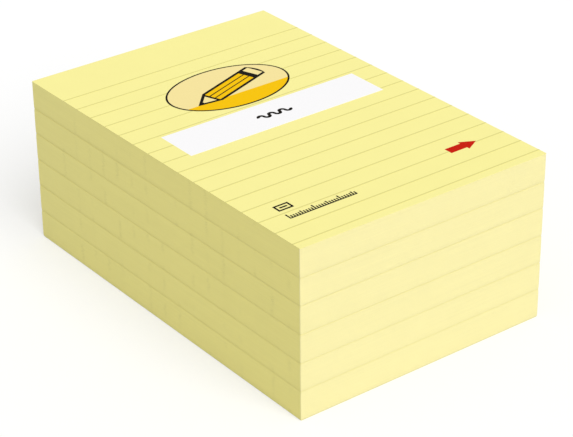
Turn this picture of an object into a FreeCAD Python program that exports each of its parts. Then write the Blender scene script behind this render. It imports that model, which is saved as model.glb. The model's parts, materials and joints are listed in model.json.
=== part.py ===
import FreeCAD, Part
import math
import os

# A flush block of ruled, self-stick note pads with a printed cover sheet, in millimetres.
# X runs across the sheet, Y from the loose end to the glued head, and Z upwards.
# The origin is the middle of the underside of the lowest backing sheet.

# The sheet and the stack
SHEET_WIDTH = 101.0
SHEET_LENGTH = 152.0
# The height of a pad with its backing sheet
PAD_HEIGHT = 10.2
# How much thicker or thinner than that each pad of the stack is, lowest pad first
PAD_DIFFERENCES = (0.4, 0.0, 0.1, 0.0, -0.5, 0.4)
BACKING_THICKNESS = 0.2
# How far a backing sheet stops inside the trimmed edges, which leaves the seam's groove
BACKING_INSET = 0.25
COVER_THICKNESS = 0.1
# All print is a field of this thickness on the cover
INK_THICKNESS = 0.04

# The ruling, from the loose end up to the blank strip at the head
RULE_PITCH = 8.52
RULE_FIRST = 3.45
RULE_WIDTH = 0.55
HEAD_STRIP = 20.0

# The white title band and the drawn stroke in its middle
BAND_SIDE_MARGIN = 10.1
BAND_HEIGHT = 17.2
# From the glued head down to the band's middle
BAND_FROM_HEAD = 73.3
STROKE_TURNS = 6
STROKE_RADIUS = 1.1
STROKE_WIDTH = 1.2

# The oval badge above the band
BADGE_WIDTH = 48.0
BADGE_HEIGHT = 31.0
BADGE_GAP = 2.4
BADGE_RIM = 0.7

# The pencil drawn in the badge, from its point to its rubber
PENCIL_WIDTH = 8.6
PENCIL_TILT = 20.0
# The pencil's ends stop this far short of the badge's rim, along the pencil
PENCIL_CLEARANCE = 3.5
PENCIL_CONE = 8.5
PENCIL_LEAD = 3.2
PENCIL_FERRULE = 2.6
PENCIL_RUBBER = 4.2
PENCIL_CROWN = 1.2
PENCIL_OUTLINE = 1.1
PENCIL_FACETS = 3
PENCIL_FACET_LINE = 0.5

# The small print near the loose end, on the left: a plain scale with a card drawn above it
FOOT_PRINT_LEFT = 9.3
SCALE_FOOT = 16.5
SCALE_DIVISIONS = 26
SCALE_PITCH = 1.0
TICK_WIDTH = 0.5
SHORT_TICK = 1.8
MIDDLE_TICK = 2.4
LONG_TICK = 3.0
CARD_GAP = 2.7
CARD_WIDTH = 5.8
CARD_HEIGHT = 3.7
CARD_LINE = 0.7
CARD_ROWS = 1

# The red arrow near the loose end, on the right
ARROW_RIGHT_MARGIN = 11.8
ARROW_FOOT = 18.0
ARROW_LENGTH = 12.1
ARROW_HEIGHT = 5.8
ARROW_HEAD = 5.4
ARROW_SHAFT = 3.4

# What follows from those sizes
pad_heights = [PAD_HEIGHT + difference for difference in PAD_DIFFERENCES]
stack_height = sum(pad_heights)
left_edge = -SHEET_WIDTH / 2
right_edge = SHEET_WIDTH / 2
loose_end = -SHEET_LENGTH / 2
glued_head = SHEET_LENGTH / 2
band_middle = glued_head - BAND_FROM_HEAD
badge_middle = band_middle + BAND_HEIGHT / 2 + BADGE_GAP + BADGE_HEIGHT / 2


def block(x0, x1, y0, y1, z0, height):
    """A block between two places along X, two along Y, and upwards from z0."""
    return Part.makeBox(x1 - x0, y1 - y0, height, FreeCAD.Vector(x0, y0, z0))


def sheet(inset, z0, thickness):
    """A stack or sheet of the pad's own outline, inset on all four sides."""
    return block(left_edge + inset, right_edge - inset, loose_end + inset, glued_head - inset, z0, thickness)


def field(x0, x1, y0, y1):
    """A rectangle of print on the cover."""
    return block(x0, x1, y0, y1, stack_height, INK_THICKNESS)


def print_from(edges):
    """A field of print on the cover, inside the closed outline of these edges."""
    face = Part.Face(Part.Wire(edges))
    face.translate(FreeCAD.Vector(0, 0, stack_height))
    return face.extrude(FreeCAD.Vector(0, 0, INK_THICKNESS))


def polygon(points):
    """The straight edges that join these points of the cover, closed back to the first."""
    corners = [FreeCAD.Vector(x, y, 0) for x, y in points]
    return [Part.LineSegment(a, b).toShape() for a, b in zip(corners, corners[1:] + corners[:1])]


def bulged_end(x_root, x_tip, half_width, back_points):
    """An outline closed by an arc from one half width, over x_tip, to the other, with the rest by points."""
    upper = FreeCAD.Vector(x_root, half_width, 0)
    lower = FreeCAD.Vector(x_root, -half_width, 0)
    arc = Part.Arc(upper, FreeCAD.Vector(x_tip, 0, 0), lower).toShape()
    corners = [lower] + [FreeCAD.Vector(x, y, 0) for x, y in back_points] + [upper]
    sides = [Part.LineSegment(a, b).toShape() for a, b in zip(corners, corners[1:])]
    return [arc] + sides


def oval(inset):
    """The badge's oval as a field of print, inset all round."""
    middle = FreeCAD.Vector(0, badge_middle, 0)
    half_width = BADGE_WIDTH / 2 - inset
    half_height = BADGE_HEIGHT / 2 - inset
    return print_from([Part.Ellipse(middle, half_width, half_height).toShape()])


def solids_of(shape):
    """One solid by itself, or a group of separate solids."""
    return shape.Solids[0] if len(shape.Solids) == 1 else Part.makeCompound(shape.Solids)


def write(node, shape):
    """Writes a piece to the file of its node's name."""
    shape.exportStep(f"parts/{node}.step")
    print(f"{node}: {len(shape.Solids)} solid(s), {shape.Volume:.2f} mm3")


def pads():
    """Each pad of the stack: its backing sheet, its block of notes and, on the last, the cover."""
    pieces = {}
    base = 0.0
    for number, height in enumerate(pad_heights, start=1):
        is_last = number == len(pad_heights)
        notes_base = base + BACKING_THICKNESS
        notes_top = base + height - (COVER_THICKNESS if is_last else 0.0)
        pieces[f"backing_{number}"] = sheet(BACKING_INSET, base, BACKING_THICKNESS)
        pieces[f"pad_{number}"] = sheet(0.0, notes_base, notes_top - notes_base)
        base += height
    pieces["cover_sheet"] = sheet(0.0, stack_height - COVER_THICKNESS, COVER_THICKNESS)
    return pieces


def drawn_stroke():
    """A wavy stroke in the middle of the band: half rings side by side, turned up and down in turn."""
    half_rings = []
    outer = STROKE_RADIUS + STROKE_WIDTH / 2
    inner = STROKE_RADIUS - STROKE_WIDTH / 2
    for turn in range(STROKE_TURNS):
        x = (turn - (STROKE_TURNS - 1) / 2) * 2 * STROKE_RADIUS
        middle = FreeCAD.Vector(x, band_middle, stack_height)
        ring = Part.makeCylinder(outer, INK_THICKNESS, middle)
        ring = ring.cut(Part.makeCylinder(inner, INK_THICKNESS, middle))
        low, high = (0, outer) if turn % 2 == 0 else (-outer, 0)
        half_rings.append(ring.common(field(x - outer, x + outer, band_middle + low, band_middle + high)))
    return half_rings[0].multiFuse(half_rings[1:]).removeSplitter()


def title(stroke):
    """The white band, with the stroke left out of it."""
    half_height = BAND_HEIGHT / 2
    whole = field(
        left_edge + BAND_SIDE_MARGIN,
        right_edge - BAND_SIDE_MARGIN,
        band_middle - half_height,
        band_middle + half_height,
    )
    return whole, whole.cut(stroke)


def pencil():
    """The pencil's silhouette and its inner areas, drawn along X and then tilted onto the badge."""
    tilt = math.radians(PENCIL_TILT)
    across = BADGE_WIDTH / 2 - BADGE_RIM
    upright = BADGE_HEIGHT / 2 - BADGE_RIM
    reach = across * upright / math.hypot(upright * math.cos(tilt), across * math.sin(tilt))
    end = reach - PENCIL_CLEARANCE
    half = PENCIL_WIDTH / 2
    inner_half = half - PENCIL_OUTLINE
    cone_base = -end + PENCIL_CONE
    lead_base = -end + PENCIL_LEAD
    ferrule_end = end - PENCIL_RUBBER
    crown_root = end - PENCIL_CROWN

    silhouette = print_from(
        bulged_end(crown_root, end, half, [(cone_base, -half), (-end, 0), (cone_base, half)])
    )

    # The cone's sides slope, so the outline takes more of the height there than on the barrel
    slope = half / PENCIL_CONE
    side_line = PENCIL_OUTLINE * math.hypot(1, slope)
    wood_end = cone_base - PENCIL_OUTLINE
    wood_tip_half = PENCIL_LEAD * slope - side_line
    wood_end_half = (PENCIL_CONE - PENCIL_OUTLINE) * slope - side_line
    wood = print_from(
        polygon(
            [
                (lead_base, -wood_tip_half),
                (wood_end, -wood_end_half),
                (wood_end, wood_end_half),
                (lead_base, wood_tip_half),
            ]
        )
    )

    facet = (2 * inner_half - (PENCIL_FACETS - 1) * PENCIL_FACET_LINE) / PENCIL_FACETS
    barrel = []
    for row in range(PENCIL_FACETS):
        y = -inner_half + row * (facet + PENCIL_FACET_LINE)
        barrel.append(field(cone_base, ferrule_end - PENCIL_FERRULE, y, y + facet))

    rubber = print_from(
        bulged_end(
            crown_root,
            end - PENCIL_OUTLINE,
            inner_half,
            [(ferrule_end, -inner_half), (ferrule_end, inner_half)],
        )
    )

    shapes = {
        "silhouette": silhouette,
        "pencil_wood": wood,
        "pencil_barrel": Part.makeCompound(barrel),
        "pencil_rubber": rubber,
    }
    for shape in shapes.values():
        shape.rotate(FreeCAD.Vector(0, 0, 0), FreeCAD.Vector(0, 0, 1), PENCIL_TILT)
        shape.translate(FreeCAD.Vector(0, badge_middle, 0))
    point_y = badge_middle - end * math.sin(tilt)
    return shapes, point_y


def badge():
    """The oval badge: a rim, a pale ground, a desk below the pencil's point, and the pencil."""
    shapes, desk_line = pencil()
    silhouette = shapes.pop("silhouette")
    inner = oval(BADGE_RIM)
    below = field(left_edge, right_edge, loose_end, desk_line)
    pieces = {"badge_rim": oval(0.0).cut(inner)}
    pieces["badge_ground"] = inner.cut([below, silhouette])
    pieces["badge_desk"] = inner.common(below).cut(silhouette)
    pieces["pencil_outline"] = silhouette.cut(list(shapes.values()))
    pieces.update(shapes)
    return pieces


def scale_ticks():
    """A plain scale: one base line with a tick at each division, longer at each fifth and tenth."""
    x0 = left_edge + FOOT_PRINT_LEFT
    y0 = loose_end + SCALE_FOOT
    length = SCALE_DIVISIONS * SCALE_PITCH + TICK_WIDTH
    base_line = field(x0, x0 + length, y0, y0 + TICK_WIDTH)
    ticks = []
    for division in range(SCALE_DIVISIONS + 1):
        x = x0 + division * SCALE_PITCH
        height = LONG_TICK if division % 10 == 0 else MIDDLE_TICK if division % 5 == 0 else SHORT_TICK
        ticks.append(field(x, x + TICK_WIDTH, y0, y0 + height))
    return base_line.multiFuse(ticks).removeSplitter()


def card_mark():
    """A small card in outline, with its rows of writing as bars, above the scale."""
    x0 = left_edge + FOOT_PRINT_LEFT
    y0 = loose_end + SCALE_FOOT + LONG_TICK + CARD_GAP
    x1 = x0 + CARD_WIDTH
    y1 = y0 + CARD_HEIGHT
    outline = field(x0, x1, y0, y1)
    outline = outline.cut(field(x0 + CARD_LINE, x1 - CARD_LINE, y0 + CARD_LINE, y1 - CARD_LINE))
    spacing = (CARD_HEIGHT - CARD_LINE) / (CARD_ROWS + 1)
    rows = []
    for row in range(1, CARD_ROWS + 1):
        y = y0 + row * spacing
        rows.append(field(x0 + 2 * CARD_LINE, x1 - 2 * CARD_LINE, y, y + CARD_LINE))
    return Part.makeCompound([outline] + rows)


def arrow_mark():
    """A block arrow that points to the right."""
    x1 = right_edge - ARROW_RIGHT_MARGIN
    x0 = x1 - ARROW_LENGTH
    neck = x1 - ARROW_HEAD
    y = loose_end + ARROW_FOOT + ARROW_HEIGHT / 2
    half = ARROW_HEIGHT / 2
    shaft = ARROW_SHAFT / 2
    return print_from(
        polygon(
            [
                (x0, y - shaft),
                (neck, y - shaft),
                (neck, y - half),
                (x1, y),
                (neck, y + half),
                (neck, y + shaft),
                (x0, y + shaft),
            ]
        )
    )


def ruling(overprint):
    """The ruled lines, from edge to edge, with all that is printed over them left out."""
    count = 1 + math.floor((SHEET_LENGTH - HEAD_STRIP - RULE_FIRST) / RULE_PITCH)
    strips = []
    for line in range(count):
        y = loose_end + RULE_FIRST + line * RULE_PITCH
        strips.append(field(left_edge, right_edge, y - RULE_WIDTH / 2, y + RULE_WIDTH / 2))
    print(f"{count} ruled lines")
    return Part.makeCompound(strips).cut(overprint)


def build():
    """All pieces of the block, by the name of their node."""
    pieces = pads()
    stroke = drawn_stroke()
    whole_band, band = title(stroke)
    pieces["title_band"] = band
    pieces["title_stroke"] = stroke
    pieces.update(badge())
    pieces["scale_ticks"] = scale_ticks()
    pieces["card_mark"] = card_mark()
    pieces["arrow_mark"] = arrow_mark()
    foot_print = [pieces[node] for node in ("scale_ticks", "card_mark", "arrow_mark")]
    pieces["ruled_lines"] = ruling([whole_band, oval(0.0)] + foot_print)
    return pieces


if __name__ == "__main__":
    os.makedirs("parts", exist_ok=True)
    for name, piece in build().items():
        write(name, solids_of(piece))
    print(f"{SHEET_WIDTH} x {SHEET_LENGTH} x {stack_height + INK_THICKNESS:.2f} mm")
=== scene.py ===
# %% [markdown]
# # A block of ruled, self-stick note pads
#
# The object is six large yellow note pads, stacked flush into one block under a printed
# cover sheet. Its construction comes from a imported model: the pads, the backing sheets
# between them, the cover and each field of print are pieces of their own, at real size,
# in metres. This script gives that model its looks. It replaces the plain pads by blocks
# that have an edge for every leaf, and it mixes paper and ink from noise nodes.

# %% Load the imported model
import json
import math

import bpy
import numpy as np
from mathutils import Matrix, Vector


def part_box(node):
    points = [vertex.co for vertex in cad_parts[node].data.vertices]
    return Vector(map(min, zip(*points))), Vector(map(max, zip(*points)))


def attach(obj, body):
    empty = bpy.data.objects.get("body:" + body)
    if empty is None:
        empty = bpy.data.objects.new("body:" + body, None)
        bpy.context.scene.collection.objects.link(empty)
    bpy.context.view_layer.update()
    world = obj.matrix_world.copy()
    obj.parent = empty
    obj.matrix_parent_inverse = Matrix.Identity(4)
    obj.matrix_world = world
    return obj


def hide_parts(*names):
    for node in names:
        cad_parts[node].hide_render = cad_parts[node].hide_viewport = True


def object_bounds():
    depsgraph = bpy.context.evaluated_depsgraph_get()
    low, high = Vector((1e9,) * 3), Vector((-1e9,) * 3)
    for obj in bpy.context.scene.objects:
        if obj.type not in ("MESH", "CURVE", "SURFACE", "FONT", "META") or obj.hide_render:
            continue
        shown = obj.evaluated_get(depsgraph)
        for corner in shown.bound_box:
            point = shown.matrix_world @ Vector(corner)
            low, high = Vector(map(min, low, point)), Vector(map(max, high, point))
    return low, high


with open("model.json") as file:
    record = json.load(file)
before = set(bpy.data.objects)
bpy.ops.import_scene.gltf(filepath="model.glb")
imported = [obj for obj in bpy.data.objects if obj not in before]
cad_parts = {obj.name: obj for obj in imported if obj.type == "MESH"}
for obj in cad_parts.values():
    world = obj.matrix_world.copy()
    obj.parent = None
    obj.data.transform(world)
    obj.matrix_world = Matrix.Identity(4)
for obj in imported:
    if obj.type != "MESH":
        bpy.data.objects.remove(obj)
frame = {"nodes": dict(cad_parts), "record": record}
cad_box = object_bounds()
MM = 0.001
block_low, block_high = cad_box
pad_nodes = sorted(name for name in frame["nodes"] if name.startswith("pad_"))
backing_nodes = sorted(name for name in frame["nodes"] if name.startswith("backing_"))
print("pads", len(pad_nodes), "backing sheets", len(backing_nodes))
print("size in mm", [round(v / MM, 2) for v in block_high - block_low])

# %% [markdown]
# ## The camera
#
# A product shot like this one is taken with a long lens from well back, so that the
# block's edges hardly converge. A constraint could keep the camera aimed, but it would
# hide how the view is made, so the camera is placed by two angles and a distance: the
# azimuth turns it round the block, the elevation lifts it, and a small roll levels the
# picture. Its three axes are worked out first and then stand as the columns of its matrix.

# %% Camera
CAMERA_LENS = 130.3
CAMERA_AZIMUTH = math.radians(-37.27)
CAMERA_ELEVATION = math.radians(28.56)
CAMERA_ROLL = math.radians(-0.616)
CAMERA_DISTANCE = 710.95 * MM
AIM_HEIGHT = 30 * MM
AIM_RIGHT = 1.98 * MM
AIM_UP = -6.72 * MM


def add_camera():
    """Puts the camera on the line back from its aim, and turns it by the roll about that line."""
    across, along = math.sin(CAMERA_AZIMUTH), math.cos(CAMERA_AZIMUTH)
    level, lift = math.cos(CAMERA_ELEVATION), math.sin(CAMERA_ELEVATION)
    back = Vector((across * level, -along * level, lift))
    right = Vector((along, across, 0))
    up = back.cross(right)
    aim = Vector((0, 0, AIM_HEIGHT)) + AIM_RIGHT * right + AIM_UP * up
    turned_right = math.cos(CAMERA_ROLL) * right + math.sin(CAMERA_ROLL) * up
    turned_up = math.cos(CAMERA_ROLL) * up - math.sin(CAMERA_ROLL) * right
    data = bpy.data.cameras.new("camera")
    data.lens = CAMERA_LENS
    camera = bpy.data.objects.new("camera", data)
    axes = Matrix((turned_right, turned_up, back)).transposed()
    camera.matrix_world = Matrix.Translation(aim + CAMERA_DISTANCE * back) @ axes.to_4x4()
    bpy.context.scene.collection.objects.link(camera)
    bpy.context.scene.camera = camera
    return camera


camera = add_camera()
print("camera at", [round(v, 3) for v in camera.matrix_world.translation])

# %% [markdown]
# ## A white background that doesn't light the block
#
# Behind a cut-out product everything is white, but a world and a floor as bright as that
# would wash out pale paper. The background could be painted in afterwards, and then it
# would be missing from every other view. Instead, a ray test chooses between two shaders:
# camera, glossy and transmission rays meet the white one, and all other rays meet the one
# that lights the block.

# %% Choose a shader by the kind of ray
LENS_RAYS = ("Is Glossy Ray", "Is Transmission Ray")


def seen_by_lens(tree):
    """A value that is 1 for camera, glossy and transmission rays and 0 for all others."""
    path = tree.nodes.new("ShaderNodeLightPath")
    total = path.outputs["Is Camera Ray"]
    for ray in LENS_RAYS:
        larger = tree.nodes.new("ShaderNodeMath")
        larger.operation = "MAXIMUM"
        tree.links.new(total, larger.inputs[0])
        tree.links.new(path.outputs[ray], larger.inputs[1])
        total = larger.outputs[0]
    return total


def choose_by_ray(tree, for_others, for_lens, output):
    """Sends one shader to the rays that the lens sees by, and the other to all other rays."""
    choice = tree.nodes.new("ShaderNodeMixShader")
    tree.links.new(seen_by_lens(tree), choice.inputs[0])
    tree.links.new(for_others.outputs[0], choice.inputs[1])
    tree.links.new(for_lens.outputs[0], choice.inputs[2])
    tree.links.new(choice.outputs[0], tree.nodes[output].inputs["Surface"])


print("the lens sees by camera rays and", LENS_RAYS)

# %% [markdown]
# ### The world
#
# Pale paper shows its own colour only under a plain level of light: what faces up should
# come out about as it is written. Area lamps would do, but their light falls off across
# the block. An even world reaches every side alike, and it gives about half of the light
# on the top. The Standard view shows colours as they are; a film-like one greys the white.

# %% World
WORLD_LEVEL = 0.52
WHITE_LEVEL = 1
WHITE = (1, 1, 1, 1)


def set_world():
    """An even world: its level lights the block, and rays from the lens see it as white."""
    world = bpy.data.worlds.new("studio")
    world.use_nodes = True
    tree = world.node_tree
    light = tree.nodes["Background"]
    seen = tree.nodes.new("ShaderNodeBackground")
    for background, level in ((light, WORLD_LEVEL), (seen, WHITE_LEVEL)):
        background.inputs["Color"].default_value = WHITE
        background.inputs["Strength"].default_value = level
    choose_by_ray(tree, light, seen, "World Output")
    bpy.context.scene.world = world


bpy.context.scene.view_settings.view_transform = "Standard"
set_world()
print("world gives", WORLD_LEVEL, "and is seen as", WHITE_LEVEL)

# %% [markdown]
# ### The sun
#
# One soft sun from the front gives the other half of the top's light. A small sun would
# draw a hard shadow, which such a shot avoids, so its disc is many degrees wide. It hardly
# reaches the long sides, and the one in view falls to about two thirds of the top.

# %% Sun
SUN_DIRECTION = Vector((-0.10, -0.69, 0.71))
SUN_STRENGTH = 2.04
SUN_DISC = math.radians(50)


def add_sun():
    """A sun whose wide disc makes the shadow's edge soft."""
    data = bpy.data.lights.new("soft_sun", "SUN")
    data.energy = SUN_STRENGTH
    data.angle = SUN_DISC
    sun = bpy.data.objects.new("soft_sun", data)
    sun.matrix_world = SUN_DIRECTION.to_track_quat("Z", "Y").to_matrix().to_4x4()
    bpy.context.scene.collection.objects.link(sun)


add_sun()
sun_on_top = SUN_STRENGTH / math.pi * SUN_DIRECTION.normalized().z
print("light on top of the block:", round(WORLD_LEVEL + sun_on_top, 2))

# %% [markdown]
# ### The floor
#
# The block stands on a wide pale sheet. A shadow catcher would keep the shadow too, but
# not the light that a real floor throws back onto the sides. So the floor is an ordinary
# matt grey, and for rays from the lens a little glow is added, which lifts it to white
# where no shadow falls. The block's soft shadow stays.

# %% Floor
FLOOR_HALF = 2.0
FLOOR_DROP = 0.02 * MM
FLOOR_TONE = 0.60
FLOOR_GLOW = 0.42


def pale_floor():
    """A matt grey for light, with a glow added to it that only the lens sees."""
    material = bpy.data.materials.new("pale_floor")
    material.use_nodes = True
    tree = material.node_tree
    tree.nodes.remove(tree.nodes["Principled BSDF"])
    matt = tree.nodes.new("ShaderNodeBsdfDiffuse")
    matt.inputs["Color"].default_value = (FLOOR_TONE, FLOOR_TONE, FLOOR_TONE, 1)
    glow = tree.nodes.new("ShaderNodeEmission")
    glow.inputs["Strength"].default_value = FLOOR_GLOW
    both = tree.nodes.new("ShaderNodeAddShader")
    tree.links.new(matt.outputs[0], both.inputs[0])
    tree.links.new(glow.outputs[0], both.inputs[1])
    choose_by_ray(tree, matt, both, "Material Output")
    return material


def add_floor():
    """A wide square just under the block."""
    corners = np.array([(-1, -1), (1, -1), (1, 1), (-1, 1)]) * FLOOR_HALF
    points = np.column_stack([corners, np.full(4, -FLOOR_DROP)])
    mesh = bpy.data.meshes.new("floor")
    mesh.from_pydata(points.tolist(), [], [(0, 1, 2, 3)])
    mesh.materials.append(pale_floor())
    floor = bpy.data.objects.new("floor", mesh)
    bpy.context.scene.collection.objects.link(floor)


add_floor()
floor_light = FLOOR_TONE * (WORLD_LEVEL + sun_on_top)
print("open floor as the lens sees it:", round(floor_light + FLOOR_GLOW, 2))

# %% [markdown]
# ## Materials from nodes
#
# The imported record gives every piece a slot, and each slot gets one material here. Paper
# and ink could come from pictures, but those need a map and blur up close, so both are
# mixed from a few nodes. Every pattern reads Object coordinates in metres: they are the
# same on all pieces, so a pattern has its real size and runs on from one piece to the next
# without a seam. Two short helpers keep the recipes readable. One opens a material, and
# one adds a Math node whose operands may be numbers or outputs.

# %% Slots to finish, and two helpers
slot_of = {entry["node"]: entry["material_slot"] for entry in frame["record"]["subparts"]}


def new_material(name):
    """A material with an empty start: its tree, its shader and its Object coordinates."""
    material = bpy.data.materials.new(name)
    material.use_nodes = True
    tree = material.node_tree
    shader = tree.nodes["Principled BSDF"]
    place = tree.nodes.new("ShaderNodeTexCoord").outputs["Object"]
    return material, tree, shader, place


def math_node(tree, operation, first, second=0.0, third=0.0):
    """One Math node; each operand is a number or another node's output."""
    node = tree.nodes.new("ShaderNodeMath")
    node.operation = operation
    for socket, value in zip(node.inputs, (first, second, third)):
        if isinstance(value, (int, float)):
            socket.default_value = value
        else:
            tree.links.new(value, socket)
    return node.outputs[0]


print("slots to finish:", sorted(set(slot_of.values())))

# %% [markdown]
# ### Noise of a real size
#
# Paper has features of many sizes, from clouds in the pulp down to fibres. Generated
# coordinates would stretch each to its piece's own box. With coordinates in metres, the
# scale of a noise is simply one over a feature's size, and a long feature has another
# scale for each axis. Noise comes out between about a quarter and three quarters, round a
# mean of one half. `around` spreads that to a wanted mean and swing, so that it can be a
# roughness, or a factor close to 1 for a colour.

# %% Noise
NOISE_MEAN = 0.5
NOISE_REACH = 0.25


def noise(tree, place, size, detail=2.0):
    """Noise whose features are about size across, in metres: one number, or one for each axis."""
    sizes = (size,) * 3 if isinstance(size, float) else size
    stretch = tree.nodes.new("ShaderNodeMapping")
    stretch.inputs["Scale"].default_value = [1 / s for s in sizes]
    tree.links.new(place, stretch.inputs["Vector"])
    texture = tree.nodes.new("ShaderNodeTexNoise")
    texture.inputs["Scale"].default_value = 1.0
    texture.inputs["Detail"].default_value = detail
    tree.links.new(stretch.outputs[0], texture.inputs["Vector"])
    return texture.outputs["Fac"]


def around(tree, value, mean, swing):
    """Spreads a noise so that it runs from about mean - swing to about mean + swing."""
    spread = swing / NOISE_REACH
    return math_node(tree, "MULTIPLY_ADD", value, spread, mean - spread * NOISE_MEAN)


print("noise runs from about", NOISE_MEAN - NOISE_REACH, "to", NOISE_MEAN + NOISE_REACH)

# %% [markdown]
# ## Note paper
#
# The paper is a pale canary yellow, dyed through. Held close it isn't even: the pulp has
# soft clouds a centimetre across, and fibres up to half a millimetre long that roughen the
# surface. One flat colour would look like plastic up close, and a picture of paper would
# repeat itself, so both are noises. They go into the colour as a swing of a percent or so,
# because on the whole sheet they're hardly seen.

# %% Grain of the paper
CLOUD_SIZE = 11 * MM
CLOUD_SWING = 0.008
FIBRE_SIZE = (0.5 * MM, 0.22 * MM, 0.22 * MM)
FIBRE_SWING = 0.012


def paper_grain(tree, place):
    """The factor that clouds and fibres give to a paper's colour, and the fibres by themselves."""
    clouds = around(tree, noise(tree, place, CLOUD_SIZE), 1.0, CLOUD_SWING)
    fibres = noise(tree, place, FIBRE_SIZE, detail=3.0)
    return math_node(tree, "MULTIPLY", clouds, around(tree, fibres, 1.0, FIBRE_SWING)), fibres


print("grain swings the colour by up to", round(CLOUD_SWING + FIBRE_SWING, 3))

# %% [markdown]
# ### The cover's finish
#
# The cover is the same matt paper, seen flat. Its fibres also stand up by a few
# thousandths of a millimetre. That is far too fine for the mesh, so it is bump, and the
# fibres vary the roughness a little too.

# %% Cover paper
COVER_YELLOW = (0.970, 0.902, 0.345)
FIBRE_DEPTH = 0.006 * MM
PAPER_ROUGHNESS = 0.86
ROUGHNESS_SWING = 0.05
PAPER_GLOSS = 0.25


def times(tree, colour, factor):
    """A colour, given as numbers or as an output, multiplied by a factor."""
    node = tree.nodes.new("ShaderNodeVectorMath")
    node.operation = "SCALE"
    if isinstance(colour, tuple):
        node.inputs[0].default_value = colour
    else:
        tree.links.new(colour, node.inputs[0])
    tree.links.new(factor, node.inputs["Scale"])
    return node.outputs[0]


def add_bump(tree, shader, height, depth):
    """Bump from a height between 0 and 1 that stands for this depth in metres."""
    bump = tree.nodes.new("ShaderNodeBump")
    bump.inputs["Distance"].default_value = depth
    tree.links.new(height, bump.inputs["Height"])
    tree.links.new(bump.outputs[0], shader.inputs["Normal"])


def cover_paper():
    """Matt dyed paper, seen flat."""
    material, tree, shader, place = new_material("cover_paper")
    grain, fibres = paper_grain(tree, place)
    tree.links.new(times(tree, COVER_YELLOW, grain), shader.inputs["Base Color"])
    tree.links.new(around(tree, fibres, PAPER_ROUGHNESS, ROUGHNESS_SWING), shader.inputs["Roughness"])
    shader.inputs["Specular IOR Level"].default_value = PAPER_GLOSS
    add_bump(tree, shader, fibres, FIBRE_DEPTH)
    return material


finishes = {"cover_paper": cover_paper()}
print("nodes in cover_paper:", len(finishes["cover_paper"].node_tree.nodes))

# %% [markdown]
# ## The backing sheets
#
# Under each pad lies the sheet that its last note sticks to. Its release coat makes it
# smoother than the notes. Its yellow is also darker: painted shade, for the shade in the
# seams where its edge shows. Only its edge shows, in a seam, so it could have one flat
# colour. But the lowest sheet is seen when the block is turned over, so it has the grain
# of the notes, with finer bump.

# %% Backing paper
# Painted shade: the backing's yellow is darker than the notes' for the shade in the seams
BACKING_YELLOW_WITH_PAINTED_SHADE = (0.86, 0.79, 0.33)
BACKING_ROUGHNESS = 0.55
BACKING_DEPTH = FIBRE_DEPTH / 2


def backing_paper():
    """Coated paper, smoother than the notes, and darker by painted shade for the seams."""
    material, tree, shader, place = new_material("backing_paper")
    grain, fibres = paper_grain(tree, place)
    tree.links.new(times(tree, BACKING_YELLOW_WITH_PAINTED_SHADE, grain), shader.inputs["Base Color"])
    tree.links.new(around(tree, fibres, BACKING_ROUGHNESS, ROUGHNESS_SWING), shader.inputs["Roughness"])
    add_bump(tree, shader, fibres, BACKING_DEPTH)
    return material


finishes["backing_paper"] = backing_paper()
print("nodes in backing_paper:", len(finishes["backing_paper"].node_tree.nodes))

# %% [markdown]
# ## Where the ruled lines end
#
# Every leaf is ruled to its very edge, so the ends of the ruled lines show on the long
# sides as faint upright marks, a little nearer the head than the cover's own lines. They
# could be thin strips of mesh, but real ones have no edge to model, so they are a pattern:
# the place along Y says how near a mark is.

# %% Places of the marks
RULE_PITCH = 8.52 * MM
MARK_SHIFT = 2.5 * MM
MARK_HALF_WIDTH = 0.9 * MM
rule_low, rule_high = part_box("ruled_lines")
first_mark = rule_low.y + MARK_SHIFT
last_mark = rule_high.y + MARK_SHIFT


def near_a_mark(tree, along):
    """1 in the middle of a mark, fading evenly to 0 at its half width, and the same each pitch."""
    away = math_node(tree, "PINGPONG", along, RULE_PITCH / 2)
    return math_node(tree, "MAXIMUM", math_node(tree, "MULTIPLY_ADD", away, -1 / MARK_HALF_WIDTH, 1.0))


print("marks along a side:", round((last_mark - first_mark) / RULE_PITCH) + 1)

# %% [markdown]
# ### How much of a mark shows
#
# The marks are strong in some pads and lost in others. Painting that by hand would take a
# picture, so a noise decides it. Each mark of each pad reads a place of its own in the
# noise, so many features away from the next one's place that the two have nothing in
# common. Up along a mark the place moves slowly, so the ink comes and goes.

# %% Ink in a mark
MARK_RUN = 8 * MM
MARK_CONTRAST = 6.0
NOISE_STRIDE = 9.7
PAD_NUMBER = "pad_number"


def carried(tree, name):
    """A number that the mesh carries at each point, under this name."""
    node = tree.nodes.new("ShaderNodeAttribute")
    node.attribute_name = name
    return node.outputs["Fac"]


def ink_left(tree, along, height):
    """How much of a mark shows: 0 to 1, from what a noise has above its middle.

    The place in the noise is the mark's number on one axis, and on the other the height
    plus the pad's number, both numbers multiplied by the stride.
    """
    line = math_node(tree, "ROUND", math_node(tree, "DIVIDE", along, RULE_PITCH))
    pad = math_node(tree, "MULTIPLY", carried(tree, PAD_NUMBER), NOISE_STRIDE)
    cell = tree.nodes.new("ShaderNodeCombineXYZ")
    tree.links.new(math_node(tree, "MULTIPLY", line, NOISE_STRIDE), cell.inputs[0])
    tree.links.new(math_node(tree, "MULTIPLY_ADD", height, 1 / MARK_RUN, pad), cell.inputs[1])
    patch = noise(tree, cell.outputs[0], 1.0, detail=0.0)
    above_middle = math_node(tree, "MULTIPLY_ADD", patch, MARK_CONTRAST, -MARK_CONTRAST * NOISE_MEAN)
    return math_node(tree, "MINIMUM", math_node(tree, "MAXIMUM", above_middle), 1.0)


print("a mark is whole where the noise is above", round(NOISE_MEAN + 1 / MARK_CONTRAST, 2))

# %% [markdown]
# ### Marks from leaf to leaf
#
# The print of one leaf never lies exactly over that of the next, so a mark is a column of
# short dashes that step to and fro. A wider mark would look smeared instead. The step is
# one more noise, as thin as a leaf, that shifts the place of the marks. They belong to the
# long sides alone, because the lines run across the sheet.

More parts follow.
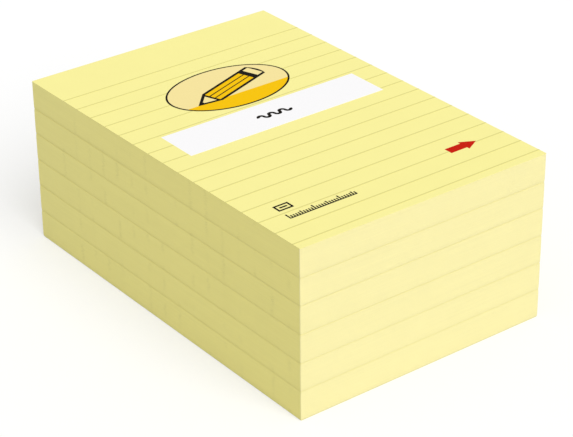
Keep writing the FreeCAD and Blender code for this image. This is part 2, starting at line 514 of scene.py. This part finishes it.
# %% Marks of the ruled lines
MARK_DRIFT = 0.8 * MM
DRIFT_SIZE = (80 * MM, 80 * MM, 0.14 * MM)
# A point this near the cut plane of a side belongs to that side, also in a groove or corner
SIDE_REACH = 0.4 * MM


def rule_marks(tree, place, split):
    """The nearness of a mark times the ink that is left, on the long sides alone.

    The place along Y is counted from the first mark, which drifts from leaf to leaf.
    """
    drifted = around(tree, noise(tree, place, DRIFT_SIZE, detail=0.0), first_mark, MARK_DRIFT)
    along = math_node(tree, "SUBTRACT", split.outputs["Y"], drifted)
    below_last = math_node(tree, "LESS_THAN", split.outputs["Y"], last_mark + RULE_PITCH / 2)
    from_middle = math_node(tree, "ABSOLUTE", split.outputs["X"])
    on_side = math_node(tree, "GREATER_THAN", from_middle, block_high.x - SIDE_REACH)
    near = math_node(tree, "MULTIPLY", near_a_mark(tree, along), below_last)
    on_marks = math_node(tree, "MULTIPLY", near, on_side)
    return math_node(tree, "MULTIPLY", on_marks, ink_left(tree, along, split.outputs["Z"]))


print("first and last mark along Y, in mm:", round(first_mark / MM, 1), round(last_mark / MM, 1))

# %% [markdown]
# ### The tone of a stack of leaves
#
# Seen from the side, a pad is a stack of paper edges. Each leaf differs a little in tone
# from the next, and so does each bundle of ten or so. A Wave texture would make stripes as
# even as a ruler's, so two noises are stretched instead: very short upwards, long along
# the side. Next to a seam the leaf edges are darker: painted shade, for the shade that
# falls into the groove between two pads.

# %% Tone of the leaves
LEAF_TONE = (40 * MM, 40 * MM, 0.12 * MM)
LEAF_MEAN = 0.985
LEAF_SWING = 0.015
BUNDLE_TONE = (90 * MM, 90 * MM, 1.1 * MM)
BUNDLE_SWING = 0.006
# Painted shade: how much darker the leaf edges are made right at a seam
PAINTED_SEAM_SHADE = 0.045
SEAM_NEARNESS = "seam_nearness"


def stack_tone(tree, place, leaf):
    """The product of the leaf's tone, its bundle's, the grain, and 1 less the painted shade near a
    seam.
    """
    bundle = around(tree, noise(tree, place, BUNDLE_TONE, detail=1.0), 1.0, BUNDLE_SWING)
    tone = math_node(tree, "MULTIPLY", around(tree, leaf, LEAF_MEAN, LEAF_SWING), bundle)
    grain, _ = paper_grain(tree, place)
    tone = math_node(tree, "MULTIPLY", tone, grain)
    # Painted shade, fading away from each seam
    painted_shade = math_node(tree, "MULTIPLY_ADD", carried(tree, SEAM_NEARNESS), -PAINTED_SEAM_SHADE, 1.0)
    return math_node(tree, "MULTIPLY", tone, painted_shade)


print("darkest leaf edge, next to a seam:", round((LEAF_MEAN - LEAF_SWING) * (1 - PAINTED_SEAM_SHADE), 3))

# %% [markdown]
# ### Two yellows
#
# The loose end is paler and bluer than the other sides: a painted sheen, which stands in
# for the light that catches that end. Two materials would need two slots on one skin, so
# one material takes one of two yellows, by the place along Y.

# %% Blend of two colours
SIDE_YELLOW = (0.970, 0.893, 0.340)
# Painted sheen: the paler, bluer yellow of the loose end
PAINTED_SHEEN_YELLOW = (0.924, 0.853, 0.440)
# The Mix node has sockets for each kind of value, and these are the ones for colours
MIX_SHARE, MIX_FIRST, MIX_SECOND, MIX_RESULT = 0, 6, 7, 2


def blend_colours(tree, share, first, second):
    """The first colour where share is 0 and the second where it is 1."""
    node = tree.nodes.new("ShaderNodeMix")
    node.data_type = "RGBA"
    tree.links.new(share, node.inputs[MIX_SHARE])
    node.inputs[MIX_FIRST].default_value = (*first, 1)
    node.inputs[MIX_SECOND].default_value = (*second, 1)
    return node.outputs[MIX_RESULT]


print("more blue in the loose end:", round(PAINTED_SHEEN_YELLOW[2] - SIDE_YELLOW[2], 2))

# %% [markdown]
# ### The edges of the leaves
#
# Cut fibres make an edge rougher than the flat of a sheet, with deeper bump. Every leaf
# could have a material of its own, but one recipe can do for all six hundred, because
# noise tells them apart. The yellow is darkened by the tone of the stack, and the marks
# take some of it away. The ink of a mark breaks up from leaf to leaf, so it is multiplied
# by the noise of the leaves as well.

# %% Leaf edges
MARK_STRENGTH = 0.14
EDGE_FIBRE = (0.35 * MM, 0.35 * MM, 0.08 * MM)
EDGE_DEPTH = 0.012 * MM
EDGE_ROUGHNESS = 0.90
EDGE_GLOSS = 0.2


def leaf_edges():
    """Paper edges: two yellows, the paler one a painted sheen on the loose end, striped from leaf to
    leaf, with the ends of the ruled lines.
    """
    material, tree, shader, place = new_material("leaf_edges")
    split = tree.nodes.new("ShaderNodeSeparateXYZ")
    tree.links.new(place, split.inputs[0])
    # Painted sheen on the loose end, chosen by the place along Y
    painted_sheen_share = math_node(tree, "LESS_THAN", split.outputs["Y"], block_low.y + SIDE_REACH)
    yellow = blend_colours(tree, painted_sheen_share, SIDE_YELLOW, PAINTED_SHEEN_YELLOW)
    leaf = noise(tree, place, LEAF_TONE, detail=0.0)
    broken = math_node(tree, "MULTIPLY", rule_marks(tree, place, split), around(tree, leaf, 0.5, 0.5))
    inked = math_node(tree, "MULTIPLY_ADD", broken, -MARK_STRENGTH, 1.0)
    tone = math_node(tree, "MULTIPLY", stack_tone(tree, place, leaf), inked)
    tree.links.new(times(tree, yellow, tone), shader.inputs["Base Color"])
    fibres = noise(tree, place, EDGE_FIBRE, detail=1.0)
    tree.links.new(around(tree, fibres, EDGE_ROUGHNESS, ROUGHNESS_SWING), shader.inputs["Roughness"])
    shader.inputs["Specular IOR Level"].default_value = EDGE_GLOSS
    add_bump(tree, shader, fibres, EDGE_DEPTH)
    return material


finishes["note_paper"] = leaf_edges()
print("nodes in note_paper:", len(finishes["note_paper"].node_tree.nodes))

# %% [markdown]
# ## Ink
#
# The print is offset ink: a thin even film that the paper's fibres still show through. It
# is solid colour with a true outline, so it needs no picture, and one function makes all
# inks. The film's cover is a noise at the size of the fibres, so an ink is a shade lighter
# where a fibre stands out. The film sinks into the paper and dries matt: with more gloss,
# the white studio would show in it and turn black to grey.

# %% Inks
INK_GRAIN = 0.18 * MM
INK_COVER_SWING = 0.02
INK_FIBRE_SWING = 0.015
INK_ROUGHNESS_SWING = 0.06
INK_GLOSS = 0.03
# Each ink's colour and roughness
INKS = {
    "ruling_ink": ((0.765, 0.708, 0.262), 0.80),
    "white_ink": ((0.980, 0.972, 0.978), 0.80),
    "cream_ink": ((0.945, 0.795, 0.355), 0.75),
    "amber_ink": ((0.955, 0.570, 0.003), 0.70),
    "dark_ink": ((0.008, 0.006, 0.004), 0.65),
    "red_ink": ((0.590, 0.012, 0.003), 0.65),
}


def ink(name, colour, roughness):
    """A film of ink on paper: its colour swings with how well it covers the fibres."""
    material, tree, shader, place = new_material(name)
    cover = noise(tree, place, INK_GRAIN, detail=2.0)
    _, fibres = paper_grain(tree, place)
    covering = around(tree, cover, 1.0, INK_COVER_SWING)
    film = math_node(tree, "MULTIPLY", covering, around(tree, fibres, 1.0, INK_FIBRE_SWING))
    tree.links.new(times(tree, colour, film), shader.inputs["Base Color"])
    tree.links.new(around(tree, cover, roughness, INK_ROUGHNESS_SWING), shader.inputs["Roughness"])
    shader.inputs["Specular IOR Level"].default_value = INK_GLOSS
    add_bump(tree, shader, fibres, FIBRE_DEPTH)
    return material


finishes.update({name: ink(name, colour, roughness) for name, (colour, roughness) in INKS.items()})
print("finishes", sorted(finishes))

# %% [markdown]
# ## A block of leaves
#
# A plain box can't show that a pad is a hundred leaves. One way to add them is an array
# of thin boxes, but its inner faces would never be seen. Here the block is one closed
# skin: a path goes once round the outline, and a zigzag profile is carried along it, one
# ridge for each leaf's edge and one groove for each joint. All points come from two
# arrays, one for the place round the outline and one for the height, so the depth of
# every groove can depend on both.

# %% Leaves in a pad
LEAF_THICKNESS = 0.1 * MM


def leaf_count(node):
    """How many leaves a pad's height holds."""
    low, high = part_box(node)
    return round((high.z - low.z) / LEAF_THICKNESS)


print("leaves in the pads:", [leaf_count(node) for node in pad_nodes])

# %% [markdown]
# ### The outline of a pad
#
# A guillotine cuts square corners, and handling rounds them by a few tenths of a
# millimetre. A Bevel modifier could round them later, but it would cut across the grooves.
# So the rounding belongs to the outline: a quarter circle at each corner, and a straight
# to the next, with a point every few millimetres so that the cut can wander.

# %% Outline
CORNER_RADIUS = 0.3 * MM
CORNER_STEPS = 4
SIDE_STEP = 8 * MM


def rounded_outline(low, high):
    """Once round a rectangle with rounded corners, anticlockwise: points, outward directions, sides.

    A corner is a quarter circle about a centre one radius inside both sides, and the
    straight to the next corner is divided evenly. Sides are numbered by their corner.
    """
    middle = (np.array(low) + np.array(high)) / 2
    inner = (np.array(high) - np.array(low)) / 2 - CORNER_RADIUS
    quarter = np.linspace(0, np.pi / 2, CORNER_STEPS + 1)
    points, directions, sides = [], [], []
    for side, (x, y) in enumerate(((1, 1), (-1, 1), (-1, -1), (1, -1))):
        angle = quarter + side * np.pi / 2
        direction = np.column_stack([np.cos(angle), np.sin(angle)])
        centre = middle + inner * (x, y)
        arc = centre + CORNER_RADIUS * direction
        length = 2 * inner[side % 2]
        steps = math.ceil(length / SIDE_STEP)
        ahead = np.array([np.cos(angle[-1] + np.pi / 2), np.sin(angle[-1] + np.pi / 2)])
        straight = arc[-1] + np.outer(np.arange(1, steps) / steps * length, ahead)
        points.append(np.vstack([arc, straight]))
        directions.append(np.vstack([direction, np.repeat(direction[-1:], steps - 1, axis=0)]))
        sides.append(np.full(CORNER_STEPS + steps, side))
    return np.vstack(points), np.vstack(directions), np.concatenate(sides)


outline_points, _, _ = rounded_outline(block_low.xy, block_high.xy)
print("points round a pad:", len(outline_points))

# %% [markdown]
# ### How deep each groove is
#
# The guillotine leaves the edges flush, but leaves still stand a few hundredths of a
# millimetre in or out. Displacement from a noise would move a leaf's ridge and its joint
# alike, so the depth is a sum of three parts that follow the leaves: the groove between
# leaves, a step for each leaf, and a slow wander of the cut made of a few waves round the
# outline. At the head the leaves are held by the adhesive and lie tight, so the depth
# fades there.

# %% Depth of the cut edges
GROOVE_DEPTH = 0.028 * MM
LEAF_STEP = 0.020 * MM
CUT_WANDER = 0.030 * MM
HEAD_TIGHTNESS = 0.4
WAVES = 5
# How fast the waves turn along X, Y and Z, in radians for each metre
WAVE_TURNS = (25, 25, 250)


def edge_depth(points, heights, is_joint, random):
    """How far each point lies inside the cut plane, never less than 0.

    The groove, where the row is a joint, plus the leaf's own step, plus the wander: a sum
    of sines of the place along X and Y and of the height, with random turns and phases.
    All of it is multiplied by how loose the leaves are, from 1 down to the tightness at
    the head.
    """
    leaf_of_row = np.arange(len(heights)) // 2
    step = LEAF_STEP * random.random(leaf_of_row[-1] + 1)[leaf_of_row]
    turns = random.normal(size=(WAVES, 3)) * WAVE_TURNS
    phases = random.random(WAVES) * 2 * np.pi
    places = points @ turns[:, :2].T
    rises = np.outer(heights, turns[:, 2])
    wander = np.sin(places[None] + rises[:, None] + phases).mean(axis=2)
    towards_head = (points[:, 1] - points[:, 1].min()) / np.ptp(points[:, 1])
    loose = 1 - (1 - HEAD_TIGHTNESS) * towards_head**2
    depth = GROOVE_DEPTH * is_joint[:, None] + step[:, None] + CUT_WANDER * (1 + wander) / 2
    return depth * loose


print("deepest joint away from a seam, in mm:", round((GROOVE_DEPTH + LEAF_STEP + CUT_WANDER) / MM, 3))

# %% [markdown]
# ### Next to a seam
#
# Where one pad ends and the next begins, the backing sheet stops short of the cut, and the
# leaves beside it are drawn in towards it. A dark line would show a seam from one side
# only, so this is depth too: it fades away from the seam and is the same all round. The
# material reads the same number for the painted shade that it puts on the leaf edges next
# to a seam.

# %% Nearness of a seam
SEAM_DEPTH = 0.12 * MM
SEAM_REACH = 0.65 * MM


def seam_nearness(heights, has_seam_above):
    """1 at a seam, fading with e to the power of minus the distance over the reach."""
    below = np.exp(-heights / SEAM_REACH)
    above = np.exp((heights - heights[-1]) / SEAM_REACH)
    return below + above if has_seam_above else below


print("leaves that a seam draws in:", round(SEAM_REACH / LEAF_THICKNESS))

# %% [markdown]
# ### The skin
#
# One outline for each height gives rows and columns of points. Each four neighbours become
# a quad, the last column joins the first, and the lowest and the highest outline become
# the two flat faces, so the skin is closed and all its faces point outwards. A loft of
# curves would give the same skin, but not the say over which face is which, and the map
# below needs that.

# %% Closed skin


def closed_skin(name, outlines, heights):
    """A mesh of one outline for each height, joined by quads, with a flat face at each end."""
    rows, columns, _ = outlines.shape
    rises = np.broadcast_to(heights[:, None, None], (rows, columns, 1))
    places = np.concatenate([outlines, rises], axis=2).reshape(-1, 3)
    row, column = np.divmod(np.arange((rows - 1) * columns), columns)
    ahead = (column + 1) % columns
    lower, upper = row * columns, (row + 1) * columns
    quads = np.column_stack([lower + column, lower + ahead, upper + ahead, upper + column])
    top = (rows - 1) * columns + np.arange(columns)
    underside = np.arange(columns)[::-1]
    mesh = bpy.data.meshes.new(name)
    mesh.from_pydata(places.tolist(), [], quads.tolist() + [top.tolist(), underside.tolist()])
    return mesh


print("quads between two outlines:", len(outline_points))

# %% [markdown]
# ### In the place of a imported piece
#
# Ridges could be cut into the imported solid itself, but then its construction would be
# lost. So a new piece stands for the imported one: it rides on the same body, hides the
# plain solid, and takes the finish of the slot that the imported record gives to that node.
# Its object stays at the origin, and its place is in its mesh.

# %% Add a piece


def add_piece(mesh, node):
    """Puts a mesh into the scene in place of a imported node, with the finish of its slot."""
    slot = slot_of[node]
    mesh.materials.append(finishes[slot])
    piece = bpy.data.objects.new(mesh.name, mesh)
    bpy.context.scene.collection.objects.link(piece)
    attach(piece, "root")
    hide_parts(node)
    return piece


print("slots without a finish:", sorted(set(slot_of.values()) - set(finishes)))

# %% [markdown]
# ### The map
#
# When the finishes are baked into pictures for other programs, a map says where each face
# lies in the picture. An automatic map would give each leaf's edge less than a pixel, so
# in this one each side of a pad is a long strip of its own, and the top and the
# underside, which nobody sees, are small.

# %% Map of a block of leaves
BAKE_MAP = "OFBake"
STRIP_HEIGHT = 0.225
STRIP_STEP = 0.235
STRIP_WIDTH = 0.97
MAP_EDGE = 0.012
CAP_ROW = 0.952
CAP_SIZE = 0.04
PICTURE_SIDE = 1024


def map_places(points, sides, heights):
    """The place of each corner of each face on the map, in the order of a closed skin's faces.

    On a strip, u grows with the length along the outline from the side's start, and v with
    the height. The two end faces are small copies of the outline, side by side.
    """
    lengths = np.linalg.norm(np.roll(points, -1, axis=0) - points, axis=1)
    ends = np.cumsum(lengths)
    start = np.array([ends[sides < side].max(initial=0.0) for side in range(4)])
    longest = max(lengths[sides == side].sum() for side in range(4))
    left = MAP_EDGE + (ends - lengths - start[sides]) / longest * STRIP_WIDTH
    right = left + lengths / longest * STRIP_WIDTH
    base = MAP_EDGE + sides * STRIP_STEP
    rise = (heights - heights[0]) / np.ptp(heights) * STRIP_HEIGHT
    row, column = np.divmod(np.arange((len(heights) - 1) * len(points)), len(points))
    u = np.column_stack([left[column], right[column], right[column], left[column]])
    v = base[column][:, None] + np.column_stack([rise[row], rise[row], rise[row + 1], rise[row + 1]])
    cap = (points - points.min(axis=0)) / np.ptp(points, axis=0).max() * CAP_SIZE
    top = cap + (MAP_EDGE, CAP_ROW)
    underside = cap[::-1] + (MAP_EDGE + 2 * CAP_SIZE, CAP_ROW)
    return np.vstack([np.stack([u, v], axis=2).reshape(-1, 2), top, underside])


most_leaves = max(leaf_count(node) for node in pad_nodes)
print("picture rows for each leaf's edge:", round(STRIP_HEIGHT * PICTURE_SIDE / most_leaves, 1))

# %% [markdown]
# ### The pads
#
# Now the pieces come together. The height is cut into two rows for each leaf, a joint and
# a ridge. The depths move the outline inwards, the skin is closed, and the two numbers
# that the material asks for, the pad's number and the nearness of a seam, are written onto
# its points. They could be worked out again in nodes, but then they'd have to be kept
# alike in two places.

# %% Build the blocks of leaves


def leaf_block(node, seed):
    """One closed block with a ridge for every leaf, in the place of a pad."""
    random = np.random.default_rng(seed)
    low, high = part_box(node)
    points, directions, sides = rounded_outline(low.xy, high.xy)
    heights = np.linspace(low.z, high.z, 2 * leaf_count(node) + 1)
    is_joint = np.arange(len(heights)) % 2 == 0
    nearness = seam_nearness(heights - low.z, node != pad_nodes[-1])
    depth = edge_depth(points, heights - low.z, is_joint, random) + SEAM_DEPTH * nearness[:, None]
    mesh = closed_skin(f"{node}_leaves", points - depth[:, :, None] * directions, heights)
    for name, numbers in ((PAD_NUMBER, np.full(len(heights), seed)), (SEAM_NEARNESS, nearness)):
        attribute = mesh.attributes.new(name, "FLOAT", "POINT")
        attribute.data.foreach_set("value", np.repeat(numbers, len(points)).astype(np.float32))
    layer = mesh.uv_layers.new(name=BAKE_MAP)
    layer.uv.foreach_set("vector", map_places(points, sides, heights).astype(np.float32).ravel())
    print(mesh.name, "faces", len(mesh.polygons), "deepest mm", round(depth.max() / MM, 3))
    return add_piece(mesh, node)


blocks = [leaf_block(node, seed) for seed, node in enumerate(pad_nodes, start=1)]
print("faces in all blocks:", sum(len(block.data.polygons) for block in blocks))

# %% [markdown]
# ## Single leaves
#
# The cover and the backing sheets are single leaves. They are cut in the same stroke as
# the pads, so their corners are rounded like the pads' corners. A bevelled box would do,
# but the same skin of only three outlines keeps all paper alike. The knife presses the
# paper down as it cuts and turns the upper edge over by a few hundredths of a millimetre,
# and that thin line catches the light.

# %% Build the single leaves
TURNED_EDGE = 0.03 * MM
leaf_nodes = backing_nodes + ["cover_sheet"]


def single_leaf(node):
    """The outline at a leaf's underside, just below its top, and at its top, a little smaller."""
    low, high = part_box(node)
    points, directions, _ = rounded_outline(low.xy, high.xy)
    heights = np.array([low.z, high.z - TURNED_EDGE, high.z])
    depth = np.array([0, 0, TURNED_EDGE])
    mesh = closed_skin(f"{node}_leaf", points - depth[:, None, None] * directions, heights)
    return add_piece(mesh, node)


leaves = [single_leaf(node) for node in leaf_nodes]
print("single leaves", len(leaves), "faces in each", len(leaves[0].data.polygons))

# %% [markdown]
# ## Finishing the print
#
# Each field of print is a thin solid of its own, with its true outline. A picture on the
# cover could show the same, but it would blur up close, so the solids stay as they are
# and only change material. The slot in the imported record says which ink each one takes.

# %% Assign the inks
print_nodes = sorted(set(frame["nodes"]) - set(pad_nodes) - set(leaf_nodes))
for name in print_nodes:
    frame["nodes"][name].material_slots[0].material = finishes[slot_of[name]]
print("fields of print", len(print_nodes))
